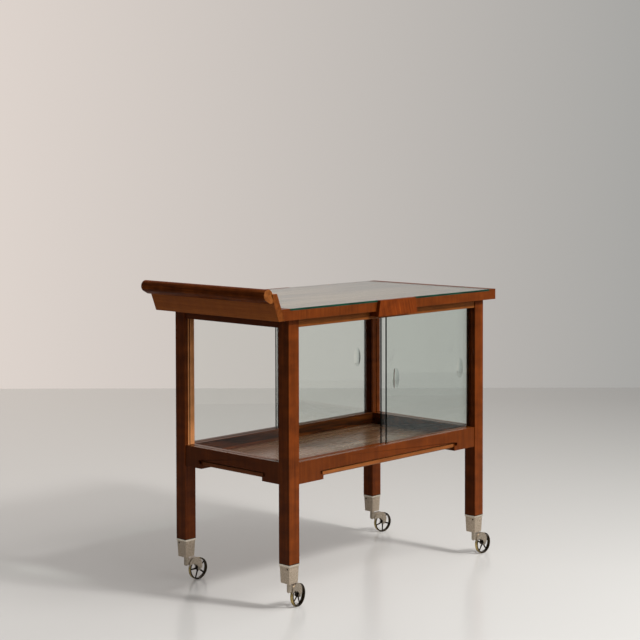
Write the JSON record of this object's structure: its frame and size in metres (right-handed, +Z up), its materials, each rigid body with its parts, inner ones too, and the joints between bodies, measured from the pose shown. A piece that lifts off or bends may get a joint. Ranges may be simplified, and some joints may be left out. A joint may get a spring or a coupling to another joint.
{
  "type": "bar cart",
  "caption": "Wooden bar cart with a glass top, a railed tray, glass end panes, sliding glass doors, a push rod on a sloping end board and swivel casters.",
  "frame": {"origin": "on the floor, under the middle of the whole cart's bounding box", "axes": "+X along the cart away from the push rod, +Y from the front to the back, +Z up"},
  "size_m": [0.913, 0.469, 0.7922],
  "materials": {
    "wood": "satin polish",
    "veneer": "high polish",
    "rod_wood": "satin polish",
    "glass": "clear",
    "nickel": "satin nickel",
    "steel": "plain",
    "brass": "worn"
  },
  "bodies": {
    "cart": {"leg_front_left": "wood", "leg_front_right": "wood", "leg_back_left": "wood", "leg_back_right": "wood", "ferrule_front_left": "nickel", "ferrule_front_right": "nickel", "ferrule_back_left": "nickel", "ferrule_back_right": "nickel", "tray_rail_front": "wood", "tray_rail_back": "wood", "tray_rail_left": "wood", "tray_rail_right": "wood", "tray_panel": "veneer", "upper_rail_front": "wood", "upper_rail_back": "wood", "upper_rail_left": "wood", "upper_rail_right": "wood", "top_board": "veneer", "lipping_front": "wood", "lipping_back": "wood", "lipping_right": "wood", "end_strip_left": "wood", "end_strip_right": "wood", "top_glass": "glass", "sloping_board": "wood", "push_rod": "rod_wood", "block_front": "wood", "block_back": "wood", "end_pane_left": "glass", "end_pane_right": "glass"},
    "door_front_left": {"door_front_left": "glass"},
    "door_front_right": {"door_front_right": "glass"},
    "door_back_left": {"door_back_left": "glass"},
    "door_back_right": {"door_back_right": "glass"},
    "caster_front_left": {"fork_front_left": "nickel", "king_pin_front_left": "steel", "axle_front_left": "steel"},
    "wheel_front_left": {"rim_front_left": "brass", "spokes_front_left": "nickel"},
    "caster_front_right": {"fork_front_right": "nickel", "king_pin_front_right": "steel", "axle_front_right": "steel"},
    "wheel_front_right": {"rim_front_right": "brass", "spokes_front_right": "nickel"},
    "caster_back_left": {"fork_back_left": "nickel", "king_pin_back_left": "steel", "axle_back_left": "steel"},
    "wheel_back_left": {"rim_back_left": "brass", "spokes_back_left": "nickel"},
    "caster_back_right": {"fork_back_right": "nickel", "king_pin_back_right": "steel", "axle_back_right": "steel"},
    "wheel_back_right": {"rim_back_right": "brass", "spokes_back_right": "nickel"}
  },
  "joints": [
    {"name": "slide_front_left", "type": "slide", "parent": "cart", "child": "door_front_left", "axis": [1, 0, 0], "range_m": [-0.3485, 0]},
    {"name": "slide_front_right", "type": "slide", "parent": "cart", "child": "door_front_right", "axis": [1, 0, 0], "range_m": [-0.3375, 0.011]},
    {"name": "slide_back_left", "type": "slide", "parent": "cart", "child": "door_back_left", "axis": [1, 0, 0], "range_m": [-0.322, 0.0265]},
    {"name": "slide_back_right", "type": "slide", "parent": "cart", "child": "door_back_right", "axis": [1, 0, 0], "range_m": [-0.322, 0.0265]},
    {"name": "swivel_front_left", "type": "hinge", "parent": "cart", "child": "caster_front_left", "pos_m": [-0.33858, -0.189, 0.0675], "axis": [0, 0, 1], "continuous": true},
    {"name": "roll_front_left", "type": "hinge", "parent": "caster_front_left", "child": "wheel_front_left", "pos_m": [-0.30092, -0.18099, 0.0285], "axis": [-0.2079, 0.9781, 0], "continuous": true},
    {"name": "swivel_front_right", "type": "hinge", "parent": "cart", "child": "caster_front_right", "pos_m": [0.38942, -0.189, 0.0675], "axis": [0, 0, 1], "continuous": true},
    {"name": "roll_front_right", "type": "hinge", "parent": "caster_front_right", "child": "wheel_front_right", "pos_m": [0.4279, -0.19034, 0.0285], "axis": [0.0349, 0.9994, 0], "continuous": true},
    {"name": "swivel_back_left", "type": "hinge", "parent": "cart", "child": "caster_back_left", "pos_m": [-0.33858, 0.189, 0.0675], "axis": [0, 0, 1], "continuous": true},
    {"name": "roll_back_left", "type": "hinge", "parent": "caster_back_left", "child": "wheel_back_left", "pos_m": [-0.30013, 0.18699, 0.0285], "axis": [0.0523, 0.9986, 0], "continuous": true},
    {"name": "swivel_back_right", "type": "hinge", "parent": "cart", "child": "caster_back_right", "pos_m": [0.38942, 0.189, 0.0675], "axis": [0, 0, 1], "continuous": true},
    {"name": "roll_back_right", "type": "hinge", "parent": "caster_back_right", "child": "wheel_back_right", "pos_m": [0.42721, 0.18165, 0.0285], "axis": [0.1908, 0.9816, 0], "continuous": true}
  ]
}
